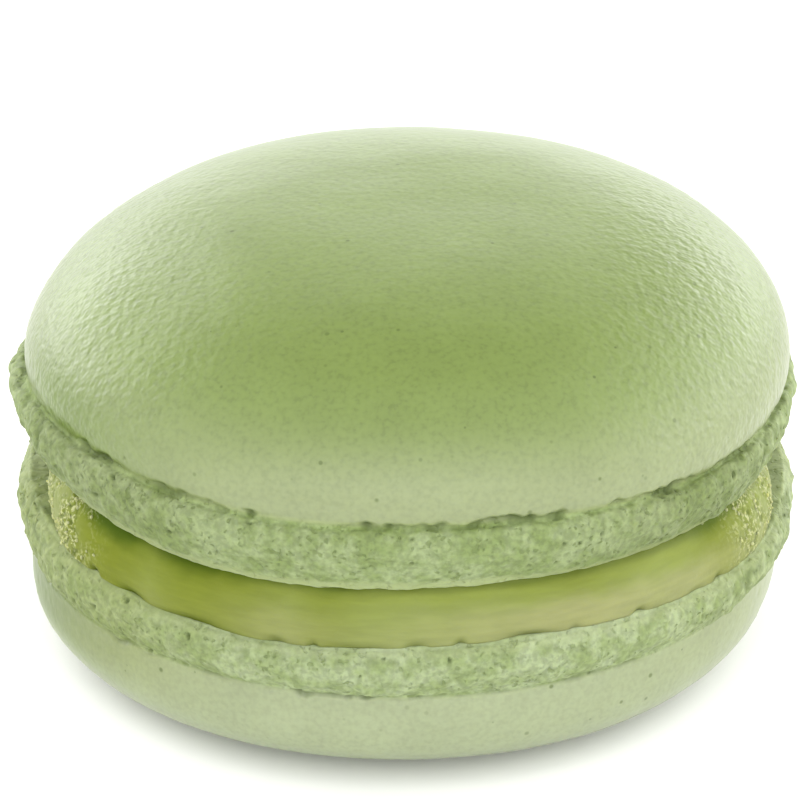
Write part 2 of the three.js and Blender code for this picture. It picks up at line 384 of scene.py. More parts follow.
def capPath(shell):
    # the cap from the seam to its top or its flat spot, a superellipse that is tucked in below
    turn = np.linspace(0, math.pi / 2, shellMesh["capPoints"])
    rest, half = shell["restRadius"], shellMesh["crackHalf"]
    radius = rest + (shell["capRadius"] - rest) * np.cos(turn).clip(0) ** (2 / shell["crown"])
    height = half + (shell["capHeight"] - half) * np.sin(turn) ** (2 / shell["flank"])
    radius = radius - shell["tuck"] * (1 - height / shellMesh["tuckReach"]).clip(0) ** 2
    return np.stack([radius, shell["footHeight"] + height], axis=1)


def pinchAt(shell, angles):
    # 1 where the edge is fully pinched, 0 where it is free
    most = np.zeros_like(angles)
    for start, full, ending, end in shell["pinches"]:
        middle = (start + end) / 2
        away = (angles - middle + math.pi) % (2 * math.pi) - math.pi
        rising = smoothstep(away, start - middle, full - middle)
        most = np.maximum(most, rising - smoothstep(away, ending - middle, end - middle))
    return most


def edgeLift(shell, angles):
    # how far the edge lies from the flat face, towards the cap
    return waveAt(angles, shell["edgeWaves"]) - shellMesh["pinchRise"] * pinchAt(shell, angles)


def faceRise(shell, angles, radius):
    return smoothstep(radius, shellMesh["flatFaceRadius"], shell["edgeRadius"]) * edgeLift(shell, angles)


def shellRows(shell):
    # one row for each ring: count, radius, height, distance from the lip, distance above the seam
    sizes = shellMesh
    turn = np.linspace(0, math.pi / 2, sizes["cornerPoints"])
    faceEdge = shell["edgeRadius"] - shell["lipIn"]
    lipRadius = faceEdge + shell["lipIn"] * np.sin(turn)
    corner = np.stack([lipRadius, shell["lipUp"] * (1 - np.cos(turn))], axis=1)
    foot, cap = footPath(shell), capPath(shell)
    outline = [corner[:-1], foot, cap]
    if shell["restRadius"]:
        top = cap[-1, 1]
        outline.append([[shell["restRadius"] + sizes["restOverlap"], top], [0.0, top]])
    outline = np.concatenate(outline)

    cornerLength = pathLength(corner)
    seamAt = cornerLength + pathLength(foot) + sizes["crackHalf"]
    whole = pathLength(outline)
    fineEnd = seamAt + sizes["fineCap"]
    nearEnd = seamAt + sizes["halfFineCap"]
    footRows = round((fineEnd - cornerLength) / sizes["footStep"])
    capRows = round((whole - nearEnd) / sizes["capStep"])
    stops = np.concatenate([
        np.linspace(0, cornerLength, sizes["cornerRows"], endpoint=False),
        np.linspace(cornerLength, fineEnd, footRows, endpoint=False),
        np.linspace(fineEnd, nearEnd, sizes["halfFineRows"], endpoint=False),
        np.linspace(nearEnd, whole, capRows),
    ])

    # the flat face from its middle outwards, fine near the lip where froth shows on it
    columns = count = sizes["footColumns"]
    coarseEdge = faceEdge - shell["fineFace"]
    fineRings = round(shell["fineFace"] / sizes["faceStep"])
    radii = innerRings(columns, sizes["faceHalvings"], coarseEdge)
    radii += [(columns, coarseEdge + shell["fineFace"] * i / fineRings) for i in range(fineRings)]
    rows = [(ring, radius, 0.0, radius - faceEdge, radius - faceEdge - seamAt) for ring, radius in radii]
    for stop, (radius, height) in zip(stops, alongPath(outline, stops)):
        tooClose = 2 * math.pi * radius / count < sizes["closestColumns"]
        if stop >= fineEnd and count == columns:
            count //= 2
        elif stop >= nearEnd and count == columns // 2:
            count //= 2
        elif stop > nearEnd and count > sizes["fewestColumns"] and tooClose:
            count //= 2
        rows.append((count, radius, height, stop, stop - seamAt))
    rows[-1] = (1, 0.0, *rows[-1][2:])
    return rows


def shellRing(shell, radius, height, angles):
    # the points of one row, with the slow waves, the lean and the pinches
    footShare = min(max(height / shell["footHeight"], 0), 1)
    capShare = min(max((height - shell["footHeight"]) / shell["capHeight"], 0), 1)
    onFace = smoothstep(radius, shellMesh["flatFaceRadius"], shell["edgeRadius"]) if height <= 0 else 1
    onCap = smoothstep(height - shell["footHeight"], -shellMesh["crackHalf"], shellMesh["crackHalf"])
    footSpread = (1 + (shellMesh["footWaveTop"] - 1) * footShare) * waveAt(angles, shell["footWaves"])
    capSpread = (1 - capShare) * waveAt(angles, shell["capWaves"])
    spread = onFace * ((1 - onCap) * footSpread + onCap * capSpread)
    lift = onFace * (1 - footShare) * edgeLift(shell, angles)
    lift = lift + footShare * (1 - capShare) * waveAt(angles, shell["seamWaves"])
    lean = shell["lean"] * smoothstep(capShare, 0, shellMesh["leanEnd"])
    radii = radius + (spread if radius > 0 else 0)
    return np.stack([radii * np.cos(angles) + lean, radii * np.sin(angles), height + lift], axis=1)


def spotsAt(bearings, spots):
    # how strong the listed spots are at these bearings
    strongest = np.zeros_like(bearings)
    for middle, half, strength in spots:
        away = (bearings - middle + 180) % 360 - 180
        strongest = np.maximum(strongest, strength * np.exp(-((away / half) ** 2)))
    return strongest


def makeShell(name, shell, faceHeight, axis, turnedOver):
    rings = []
    for count, radius, height, fromLip, aboveSeam in shellRows(shell):
        ring = shellRing(shell, radius, height, 2 * math.pi * np.arange(count) / count)
        if turnedOver:
            ring = ring * (1, -1, -1)
        bearings = np.degrees(np.arctan2(ring[:, 0], -ring[:, 1]))
        traits = {"fromLip": np.full(count, fromLip), "aboveSeam": np.full(count, aboveSeam)}
        for key in ("crack", "bubbly", "paintedShade", "rimShade"):
            traits[key] = spotsAt(bearings, shell[key])
        rings.append((ring + (axis[0], axis[1], faceHeight), traits))
    return meshFromRings(name, rings)


# Baked relief, added to both shells. Heights and sizes are in millimetres.
shellRelief = {
    "Ruffle height": 0.4,
    "Ruffle width": 2.1,
    "Ruffle rise": 1.5,
    "Ruffle level": 0.2,
    "Belly height": 0.25,
    "Belly size": 6.5,
    "Stir fineness": 0.9,  # of the noise that stirs the patterns, for each millimetre
    "Crumb height": 0.07,
    "Crumb size": 0.5,
    "Bubble height": 0.28,
    "Bubble size": 0.7,
    "Bubble level": 0.45,
    "Froth patch size": 1.7,
    "Large hole spacing": 1.1,
    "Large hole radius": 0.23,
    "Large hole depth": 0.2,
    "Large holes missing": 0.35,
    "Small hole spacing": 0.6,
    "Small hole radius": 0.15,
    "Small hole depth": 0.1,
    "Small holes missing": 0.4,
    "Sponge patch size": 2.0,
    "Seam depth": 0.36,
    "Seam half width": 0.24,
    "Seam wander": 0.4,
    "Seam wander size": 1.5,
    "Seam rag size": 0.9,
    "Lip wander": 0.16,
    "Lip wander size": 1.2,
    "Cap swell": 0.12,
    "Cap swell size": 8.0,
    "Peel height": 0.03,
    "Peel size": 0.6,
    "Loose crumbs": 0.4,  # on each square millimetre of froth
    "Loose crumb radius": 0.08,
}

# A fade is where something starts and where it is full, and its two values if they aren't 0 and 1.
lipFades = {  # in millimetres from the lip: up the foot, or below 0 in along the flat face
    "foot": (0.1, 0.9),
    "holes": (0.3, 0.6),
    "shelf in": (-2.5, -1.9),
    "shelf out": (0.9, 0.2),
    "wander in": (-0.6, 0.0),
    "wander out": (1.0, 0.2),
}
seamFades = {  # in millimetres above the seam
    "foot": (0.0, -0.5),
    "holes": (0.2, -0.05),
    "sponge": (-1.6, -0.3),
    "swell": (0.0, 3.0),
    "peel": (0.2, 1.2),
    "crumbs": (0.1, -0.3),
}
patchFades = {  # in noise from 0 to 1
    "froth": (0.25, 0.52),
    "froth hollows": (0.42, 0.66),
    "sponge": (0.46, 0.58),
    "ragged seam": (0.35, 0.65),
}
seamOpening = {"cracked": 0.8, "cracked and ragged": 0.6, "ragged": 0.1, "shut width": 0.5}
hollowShare = {"large hole": 0.85, "small hole": 0.6, "froth": 0.7}
leather = (8.0, 18.0, 0.3, 1.4)  # the cap's skin is leathery at its left and right flanks
looseCrumb = {
    "smallest": (0.5, 0.5, 0.4),  # each way, as shares of the radius
    "largest": (1.5, 1.3, 1.0),
    "turn": (6.28, 6.28, 6.28),
    "fineness": 1,
}


def openTree(name, sizes):
    # a tree with one named input for each size, a shift that serves as its seed, and the material
    tree = bpy.data.node_groups.new(name, "GeometryNodeTree")
    tree.interface.new_socket("Geometry", in_out="INPUT", socket_type="NodeSocketGeometry")
    for size, value in {**sizes, "Shift": 0.0}.items():
        tree.interface.new_socket(size, in_out="INPUT", socket_type="NodeSocketFloat").default_value = value
    tree.interface.new_socket("Material", in_out="INPUT", socket_type="NodeSocketMaterial")
    tree.interface.new_socket("Geometry", in_out="OUTPUT", socket_type="NodeSocketGeometry")
    return tree, tree.nodes.new("NodeGroupInput").outputs


def closeTree(tree, given, geometry):
    whole = outputOf(tree, "GeometryNodeRealizeInstances", {"Geometry": geometry})
    dressed = addNode(tree, "GeometryNodeSetMaterial", {"Geometry": whole, "Material": given["Material"]})
    tree.links.new(dressed.outputs[0], tree.nodes.new("NodeGroupOutput").inputs[0])


def runTree(piece, tree, values):
    # sets the inputs, then turns the result into a plain mesh
    modifier = piece.modifiers.new(tree.name, "NODES")
    modifier.node_group = tree
    for item in tree.interface.items_tree:
        if item.in_out == "INPUT" and item.name in values:
            modifier[item.identifier] = values[item.name]
    graph = bpy.context.evaluated_depsgraph_get()
    plain = bpy.data.meshes.new_from_object(
        piece.evaluated_get(graph), preserve_all_data_layers=True, depsgraph=graph)
    piece.modifiers.clear()
    piece.data = plain
    plain.name = piece.name
    print(piece.name, "has", sum(len(face.vertices) - 2 for face in plain.polygons), "triangles")


def trait(tree, name):
    return addNode(tree, "GeometryNodeInputNamedAttribute", {"Name": name}).outputs["Attribute"]


def storeTrait(tree, geometry, name, value):
    plugs = {"Geometry": geometry, "Name": name, "Value": value}
    return outputOf(tree, "GeometryNodeStoreNamedAttribute", plugs)


def pointPlace(tree):
    # where a point is, in metres and in millimetres
    here = outputOf(tree, "GeometryNodeInputPosition")
    return here, scaled(here, 1 / mm)


def signed(noise, height):
    # noise from 0 to 1 becomes a height either side of 0
    return times(minus(noise, 0.5), times(height, 2.0))


def leathery(across, unit):
    # across is how far right of the middle a point is, in this unit of metres or millimetres
    start, full, least, most = leather
    return fade(calc("ABSOLUTE", across), start * unit, full * unit, least, most)


def randomVector(tree, low, high, seed):
    plugs = {0: low, 1: high, "Seed": seed}
    return outputOf(tree, "FunctionNodeRandomValue", plugs, data_type="FLOAT_VECTOR")


def crumbsOn(tree, given, surface, where, seed):
    # small uneven lumps, half sunk into the surface
    points = addNode(tree, "GeometryNodeDistributePointsOnFaces", {
        "Mesh": surface,
        "Density": times(where, given["Loose crumbs"], 1 / mm ** 2),
        "Seed": seed,
    }).outputs["Points"]
    lump = addNode(tree, "GeometryNodeMeshIcoSphere", {
        "Radius": times(given["Loose crumb radius"], mm),
        "Subdivisions": looseCrumb["fineness"],
    }).outputs["Mesh"]
    return outputOf(tree, "GeometryNodeInstanceOnPoints", {
        "Points": points,
        "Instance": addNode(tree, "GeometryNodeSetShadeSmooth", {"Geometry": lump}).outputs[0],
        "Rotation": randomVector(tree, (0, 0, 0), looseCrumb["turn"], seed + 2),
        "Scale": randomVector(tree, looseCrumb["smallest"], looseCrumb["largest"], seed + 1),
    })


def joined(tree, *parts):
    join = tree.nodes.new("GeometryNodeJoinGeometry")
    for part in parts:
        tree.links.new(part, join.inputs[0])
    return join.outputs[0]


def footRuffles(given, place, stirred):
    # rounded hills with sharp valleys, on broad bellies
    hills = grain(squeezed(stirred, given["Ruffle width"], given["Ruffle rise"]), 1.0)
    folded = calc("ABSOLUTE", times(minus(hills, 0.5), 2.0))
    ruffles = times(given["Ruffle height"], minus(folded, given["Ruffle level"]))
    return total(ruffles, signed(grain(place, given["Belly size"]), given["Belly height"]))


def seamGroove(given, place, aboveSeam, crack):
    # the seam wanders, and opens where it is cracked
    wander = signed(grain(place, given["Seam wander size"], 2.0), given["Seam wander"])
    offSeam = calc("ABSOLUTE", total(aboveSeam, wander))
    ragged = grain(place, given["Seam rag size"], 2.0, shift=11.0)
    ragged = fade(ragged, *patchFades["ragged seam"])
    cracked = times(ragged, seamOpening["cracked and ragged"])
    opening = times(crack, total(seamOpening["cracked"], cracked))
    opening = total(opening, times(ragged, seamOpening["ragged"]))
    halfWidth = times(given["Seam half width"], total(seamOpening["shut width"], opening))
    return times(fade(offSeam, halfWidth, 0.0), opening)


def reliefTree():
    tree, given = openTree("bakedRelief", shellRelief)
    here, place = pointPlace(tree)
    place = calcVector("ADD", place, vectorOf(tree, *[given["Shift"]] * 3))
    plugs = {"Vector": place, "Scale": given["Stir fineness"], "Detail": 1.0}
    stir = addNode(tree, "ShaderNodeTexNoise", plugs).outputs["Color"]
    stirred = calcVector("ADD", place, calcVector("SUBTRACT", stir, (0.5, 0.5, 0.5)))
    fromLip, aboveSeam, crack, bubbly = (
        trait(tree, name) for name in ("fromLip", "aboveSeam", "crack", "bubbly"))
    lip = {name: fade(fromLip, *ends) for name, ends in lipFades.items()}
    seam = {name: fade(aboveSeam, *ends) for name, ends in seamFades.items()}

    # the foot's relief shows from just over the lip up to just under the seam
    foot = times(lip["foot"], seam["foot"])
    holes = times(lip["holes"], seam["holes"])
    shelf = times(bubbly, times(lip["shelf in"], lip["shelf out"]))
    ruffles = footRuffles(given, place, stirred)
    crumb = signed(grain(stirred, given["Crumb size"], 2.0), given["Crumb height"])

    # froth of burst bubbles at the ends: round bumps pressed against each other
    plugs = {"Vector": shifted(stirred, 23.0), "Scale": inverse(tree, given["Bubble size"])}
    froth = addNode(tree, "ShaderNodeTexVoronoi", plugs, feature="SMOOTH_F1").outputs["Distance"]
    frothy = times(bubbly, fade(grain(place, given["Froth patch size"]), *patchFades["froth"]))
    bumps = times(frothy, given["Bubble height"], minus(given["Bubble level"], froth))

    # round holes: scattered everywhere, close together in spongy patches and just under the seam
    largeHoles = bubbles(stirred, given["Large hole spacing"], given["Large hole radius"],
                         given["Large holes missing"])
    patches = grain(place, given["Sponge patch size"], shift=3.0)
    spongy = larger(frothy, seam["sponge"], fade(patches, *patchFades["sponge"]))
    smallHoles = bubbles(shifted(stirred, 57.0), given["Small hole spacing"], given["Small hole radius"],
                         given["Small holes missing"])
    smallHoles = times(smallHoles, spongy)
    pits = times(holes, total(times(largeHoles, given["Large hole depth"]),
                              times(smallHoles, given["Small hole depth"])))
    groove = seamGroove(given, place, aboveSeam, crack)

    # the cap swells a little, and its skin is leathery at the flanks
    swell = signed(grain(place, given["Cap swell size"]), given["Cap swell"])
    flank = leathery(sideways(here), mm)
    peel = signed(grain(place, given["Peel size"]), given["Peel height"])

    raised = total(times(foot, ruffles), times(larger(foot, shelf), total(crumb, bumps)))
    lowered = minus(raised, pits, times(groove, given["Seam depth"]))
    outward = total(lowered, times(seam["swell"], swell), times(seam["peel"], flank, peel))

    # painted shade for the colour: in holes, froth hollows and the opened seam
    hollowShade = larger(times(largeHoles, hollowShare["large hole"]),
                    times(smallHoles, hollowShare["small hole"]))
    hollowShade = larger(times(holes, hollowShade), groove)
    frothDark = times(frothy, hollowShare["froth"], fade(froth, *patchFades["froth hollows"]))
    hollowShade = larger(hollowShade, times(frothDark, larger(holes, shelf)))

    # the lip's edge is gently wavy up and down
    bob = signed(grain(place, given["Lip wander size"], 2.0), given["Lip wander"])
    bob = times(lip["wander in"], lip["wander out"], bob)

    push = scaled(outputOf(tree, "GeometryNodeInputNormal"), outward)
    push = calcVector("ADD", push, vectorOf(tree, 0.0, 0.0, bob))
    marked = storeTrait(tree, given["Geometry"], "hollowShade", hollowShade)
    marked = storeTrait(tree, marked, "frothy", frothy)
    plugs = {"Geometry": marked, "Offset": scaled(push, mm)}
    moved = outputOf(tree, "GeometryNodeSetPosition", plugs)
    # nothing goes below the table
    onTable = calcVector("MAXIMUM", here, (-1, -1, shellMesh["tableGap"] * mm))
    moved = outputOf(tree, "GeometryNodeSetPosition", {"Geometry": moved, "Position": onTable})
    where = times(trait(tree, "frothy"), larger(seam["crumbs"], shelf))
    loose = crumbsOn(tree, given, moved, where, seed=7)
    closeTree(tree, given, joined(tree, moved, loose))
    return tree


# The filling

filling = {
    "topRadius": 20.8,
    "bulgeRadius": 21.85,
    "bottomRadius": 21.75,
    "bulgeShare": 0.3,
    "edgeRound": 0.1,
    "intoShell": 0.12,  # reaches this far into both shells, so that no air shows
    "columns": 1280,
    "rows": 30,
    "faceHalvings": 7,
    "grooveDepth": 0.3,  # where the filling has shrunk back from the lower shell
    "grooveShare": 0.12,
    "grooves": [(-52, 1, 1.0), (-43.5, 2.5, 1.0), (-31.5, 5.5, 0.75), (-18.5, 1.5, 0.6),
                (-13, 0.8, 0.7), (-7, 5, 0.4), (1.5, 1.5, 0.6), (8, 0.8, 0.7), (18.5, 3.5, 0.8),
                (25, 1, 0.5), (36, 1, 0.9), (47, 2, 0.4), (53, 1, 0.6), (75, 6, 0.5), (120, 8, 0.6),
                (150, 4, 0.8), (185, 9, 0.5), (222, 4, 0.9), (262, 7, 0.5)],
    # where painted shade darkens the side under the upper shell's lip
    "underLipShade": [(-49, 12, 1.0), (-31, 14, 0.8), (-12, 6, 0.5), (26, 8, 0.35), (54, 8, 0.75),
                (140, 12, 0.8), (230, 10, 0.6)],
    "paler": [(27, 20, 1.0), (46, 14, 0.8), (-18, 8, 0.4), (105, 20, 0.8), (190, 20, 0.6),
              (255, 12, 0.7)],
    "crumbly": [(-60, 6, 1.0), (-70, 9, 0.8), (62, 5, 0.8), (70, 9, 0.8), (104, 9, 0.6), (151, 12, 0.8),
                (205, 9, 0.7), (255, 14, 0.9)],
}

fillingRelief = {
    "Swell": 0.16,
    "Swell size": 3.1,
    "Smear height": 0.05,
    "Smear length": 2.4,
    "Smear rise": 0.35,
    "Rough patch size": 1.4,
    "Crumb height": 0.3,
    "Crumb size": 0.34,
    "Hole spacing": 1.1,
    "Hole radius": 0.14,
    "Hole depth": 0.12,
    "Loose crumbs": 1.8,
    "Loose crumb radius": 0.13,
}
fillingFades = {
    "bottom": (0.0, 0.06),  # in shares of the filling's height
    "top": (1.0, 0.94),
    "rough patches": (0.35, 0.55),  # in noise from 0 to 1
    "crumb hollows": (0.5, 0.36),
}


def fillingRadius(level):
    bottom, bulge, top = (filling[key] for key in ("bottomRadius", "bulgeRadius", "topRadius"))
    middle = filling["bulgeShare"]
    if level < middle:
        return bottom + (bulge - bottom) * math.cos((1 - level / middle) * math.pi / 2)
    return top + (bulge - top) * math.cos((level - middle) / (1 - middle) * math.pi / 2)


def fillingOutline():
    # each ring's count, radius and share of the height: the underside, the side and the top
    columns, edge = filling["columns"], filling["edgeRound"]
    bottom, top = filling["bottomRadius"], filling["topRadius"]
    outline = [(*ring, 0.0) for ring in innerRings(columns, filling["faceHalvings"], bottom)]
    outline.append((columns, bottom - edge, 0.0))
    for i in range(filling["rows"]):
        level = (i + 0.5) / filling["rows"]
        outline.append((columns, fillingRadius(level), level))
    outline.append((columns, top - edge, 1.0))
    return outline + [(*ring, 1.0) for ring in reversed(innerRings(columns, filling["faceHalvings"], top))]


def makeFilling(lowerFace, upperFace, axis):
    rings = []
    for count, radius, level in fillingOutline():
        angles = 2 * math.pi * np.arange(count) / count
        bearings = (np.degrees(angles) + 90 + 180) % 360 - 180
        drawn = shellMesh["pinchDraw"] * pinchAt(lowerShell, -angles) * radius / filling["bulgeRadius"]
        groove = spotsAt(bearings, filling["grooves"]) * math.exp(-((level / filling["grooveShare"]) ** 2))
        radii = radius - drawn - filling["grooveDepth"] * groove * radius / filling["bulgeRadius"]
        bottom = lowerFace - faceRise(lowerShell, -angles, radii) - filling["intoShell"]
        top = upperFace + faceRise(upperShell, angles, radii) + filling["intoShell"]
        heights = bottom + (top - bottom) * level
        ring = np.stack([radii * np.cos(angles), radii * np.sin(angles), heights], axis=1)
        traits = {"share": np.full(count, level), "groove": groove}
        for key in ("underLipShade", "paler", "crumbly"):
            traits[key] = spotsAt(bearings, filling[key])
        rings.append((ring + (axis[0], axis[1], 0), traits))
    return meshFromRings("filling_cream", rings)


def fillingTree():
    tree, given = openTree("pipedFilling", fillingRelief)
    place = shifted(pointPlace(tree)[1], 5.0)
    level = trait(tree, "share")
    side = times(fade(level, *fillingFades["bottom"]), fade(level, *fillingFades["top"]))
    swell = signed(grain(place, given["Swell size"]), given["Swell"])
    smear = grain(squeezed(place, given["Smear length"], given["Smear rise"]), 1.0, 2.0)
    smear = signed(smear, given["Smear height"])
    rough = fade(grain(place, given["Rough patch size"], 2.0), *fillingFades["rough patches"])
    rough = times(trait(tree, "crumbly"), rough)
    crumbNoise = grain(place, given["Crumb size"], 2.0)
    crumbs = times(rough, signed(crumbNoise, given["Crumb height"]))
    holes = times(bubbles(place, given["Hole spacing"], given["Hole radius"]), rough)
    outward = minus(total(swell, smear, crumbs), times(holes, given["Hole depth"]))
    normal = outputOf(tree, "GeometryNodeInputNormal")
    push = scaled(normal, times(outward, side, mm))
    # painted shade for the colour: in holes and crumb hollows
    hollows = times(rough, fade(crumbNoise, *fillingFades["crumb hollows"]))
    marked = storeTrait(tree, given["Geometry"], "hollowShade", larger(holes, hollows))
    marked = storeTrait(tree, marked, "rough", rough)
    moved = outputOf(tree, "GeometryNodeSetPosition", {"Geometry": marked, "Offset": push})
    moved = storeTrait(tree, moved, "loose", 0.0)
    where = times(trait(tree, "rough"), side)
    loose = crumbsOn(tree, given, moved, where, seed=31)
    loose = outputOf(tree, "GeometryNodeRealizeInstances", {"Geometry": loose})
    closeTree(tree, given, joined(tree, moved, storeTrait(tree, loose, "loose", 1.0)))
    return tree


# Finishes

def openMaterial(name):
    material = bpy.data.materials.new(name)
    material.use_nodes = True
    tree = material.node_tree
    tree.nodes.clear()
    body = tree.nodes.new("ShaderNodeBsdfPrincipled")
    tree.links.new(body.outputs[0], tree.nodes.new("ShaderNodeOutputMaterial").inputs[0])
    coordinates = tree.nodes.new("ShaderNodeTexCoord").outputs["Object"]
    return material, tree, body, scaled(coordinates, 1 / mm)


def closeMaterial(tree, body, look, colour, roughness, height):
    bump = outputOf(tree, "ShaderNodeBump", {"Height": height, "Strength": 1.0, "Distance": mm})
    for name, value in (("Base Color", colour), ("Roughness", roughness), ("Normal", bump)):
        tree.links.new(value, body.inputs[name])
    for name, value in look["shader"].items():
        body.inputs[name].default_value = value


def readings(tree, *names):
    return [addNode(tree, "ShaderNodeAttribute", attribute_name=name).outputs["Fac"] for name in names]


def blend(amount, first, second):
    first, second = ((*colour, 1) if isinstance(colour, tuple) else colour for colour in (first, second))
    plugs = {0: amount, 6: first, 7: second}
    return addNode(amount.id_data, "ShaderNodeMix", plugs, data_type="RGBA").outputs[2]


def blendNumber(amount, first, second):
    plugs = {0: amount, 2: first, 3: second}
    return outputOf(amount.id_data, "ShaderNodeMix", plugs, data_type="FLOAT")


def brighten(colour, factor):
    # scales a colour by a number round 1
    return calcVector("MULTIPLY", colour, vectorOf(factor.id_data, factor, factor, factor))


upperFinish = {
    "skin": (0.162, 0.220, 0.055),
    # painted light: the paler band low on the cap, from the white table
    "tableLitRim": (0.239, 0.277, 0.137),
    "rimReach": 6.6,
    # painted shade: the darker green near the seam at the spots listed in the shell
    "green": (0.135, 0.187, 0.044),
    "foot": (0.235, 0.290, 0.134),
    "footGreen": (0.165, 0.219, 0.071),
    # painted highlight: the pale line along the lip
    "lip": (0.300, 0.352, 0.161),
    "lipHighlightShare": 0.75,
    # painted shade in the small pores
    "poreShade": (0.100, 0.141, 0.031),
    # painted shade: the dark colour of holes, pinpricks and the seam
    "hole": (0.062, 0.092, 0.014),
    # painted shade: multiplies the colour above the seam at the spots listed in the shell
    "paintedShade": (0.80, 0.80, 0.72),
    "valley": (1.10, 1.12, 1.0),  # lifts the shade along the seam
    "paintedShadeReach": 0.3,  # how far above the seam the deeper colour goes
    "peel": 0.08,
    "speckle": -0.1,  # how much the skin's specks darken it
    "shift": 0.0,
}

# Paler all over than the upper shell's: painted light from the white table that this shell faces. Its
# entries paint the same light and shade as the upper shell's.
lowerFinish = {
    "skin": (0.277, 0.318, 0.184),
    "tableLitRim": (0.277, 0.317, 0.180),
    "rimReach": 4.6,
    "green": (0.130, 0.184, 0.038),
    "foot": (0.273, 0.326, 0.176),
    "footGreen": (0.198, 0.253, 0.099),
    "lip": (0.320, 0.370, 0.190),
    "lipHighlightShare": 0.35,
    "poreShade": (0.119, 0.163, 0.044),
    "hole": (0.078, 0.112, 0.022),
    "paintedShade": (0.79, 0.80, 0.59),
    "valley": (1.03, 1.04, 1.0),
    "paintedShadeReach": 4.5,
    "peel": 0.012,
    "speckle": -0.06,
    "shift": 70.0,
}

bakedLook = {  # what both shells share, in millimetres, with fades as for the relief
    "rimStart": 0.4,
    "greenStart": 1.5,
    "cloudSize": 3.5,
    "cloudStrength": 0.2,
    "dotSize": 0.3,
    "dots": (0.5, 0.8),
    "dotsUpCap": (0.5, 6.0, 0.35, 1.0),
    "dotShade": (0.25, 0.75, 0.05, -0.05),
    "prickSpacing": 1.35,
    "prickRadius": 0.17,
    "pricksMissing": 0.1,
    "prickPatchSize": 5.0,
    "prickPatches": (0.35, 0.6, 0.2, 0.75),
    "mottleSize": 0.9,
    "mottle": (0.28, 0.72),
    "footPatchSize": 3.0,
    "footPatchStrength": 0.7,
    "footGrainSize": 0.33,
    "footGrain": (0.3, 0.7, 0.84, 1.16),
    "poreSize": 0.34,
    "pores": (0.57, 0.72),
    "poreStrength": 0.65,
    "porePatchSize": 1.6,
    "porePatches": (0.35, 0.65, 0.3, 1.0),
    # the lip's painted highlight: where it starts and where it is full, in millimetres from the lip
    "lip": (1.25, 0.8),
    "lipWander": 0.4,
    "lipWanderSize": 0.8,
    "skinAboveSeam": (-0.15, 0.1),
    "valleyBelow": (-0.6, -0.1),
    "valleyAbove": (0.3, 0.05),
    "hollowStrength": 0.95,
    "smoothAboveSeam": (-0.1, 0.2),
    "footRoughness": 0.75,
    "capRoughness": 0.3,
    "shader": {
        "IOR": 1.47,
        "Subsurface Weight": 0.25,
        "Subsurface Radius": (1.0, 0.9, 0.35),
        "Subsurface Scale": 0.9 * mm,
    },
    "peelSize": 0.5,
    "spongeSize": 0.24,
    "spongeBump": 0.04,
    "poreBump": -0.07,
}


def skinColour(place, finish, aboveSeam, rimShade):
    # the cap's skin: paler towards its edge, which is painted light from the white table, and turned darker
    # green near the seam at the listed spots, which is painted shade; faintly cloudy, with a fine speckle
    # and dark pinpricks, whose darkness is painted shade
    look = bakedLook
    tableLitRim = fade(aboveSeam, look["rimStart"], finish["rimReach"])
    green = times(rimShade, fade(aboveSeam, finish["rimReach"], look["greenStart"]))
    skin = blend(green, blend(tableLitRim, finish["tableLitRim"], finish["skin"]), finish["green"])
    clouds = minus(grain(place, look["cloudSize"], 3.0), 0.5)
    clouds = times(clouds, look["cloudStrength"])
    dots = grain(place, look["dotSize"])
    upCap = fade(aboveSeam, *look["dotsUpCap"])
    speckle = times(fade(dots, *look["dots"]), finish["speckle"], upCap)
    speckle = total(speckle, fade(dots, *look["dotShade"]))
    skin = brighten(skin, total(1.0, clouds, speckle))
    patches = fade(grain(place, look["prickPatchSize"]), *look["prickPatches"])
    pricks = bubbles(place, look["prickSpacing"], look["prickRadius"], look["pricksMissing"])
    return blend(times(pricks, patches), skin, finish["hole"])


def footColour(place, finish, fromLip):
    # the foot: mottled pale and green, with small pores darkened by painted shade and a painted highlight
    # along the lip; also gives the pores
    look = bakedLook
    patches = grain(place, look["footPatchSize"], shift=9.0)
    patches = times(minus(patches, 0.5), look["footPatchStrength"])
    mottle = total(grain(place, look["mottleSize"], 2.0), patches)
    foot = blend(fade(mottle, *look["mottle"]), finish["foot"], finish["footGreen"])
    fine = grain(place, look["footGrainSize"], 2.0, shift=4.0)
    foot = brighten(foot, fade(fine, *look["footGrain"]))
    pores = grain(place, look["poreSize"], shift=31.0)
    dense = grain(place, look["porePatchSize"], shift=17.0)
    pores = times(fade(pores, *look["pores"]), fade(dense, *look["porePatches"]))
    foot = blend(times(pores, look["poreStrength"]), foot, finish["poreShade"])
    wander = times(grain(place, look["lipWanderSize"]), look["lipWander"])
    lip = fade(total(fromLip, wander), *look["lip"], 0.0, finish["lipHighlightShare"])
    return blend(lip, foot, finish["lip"]), pores


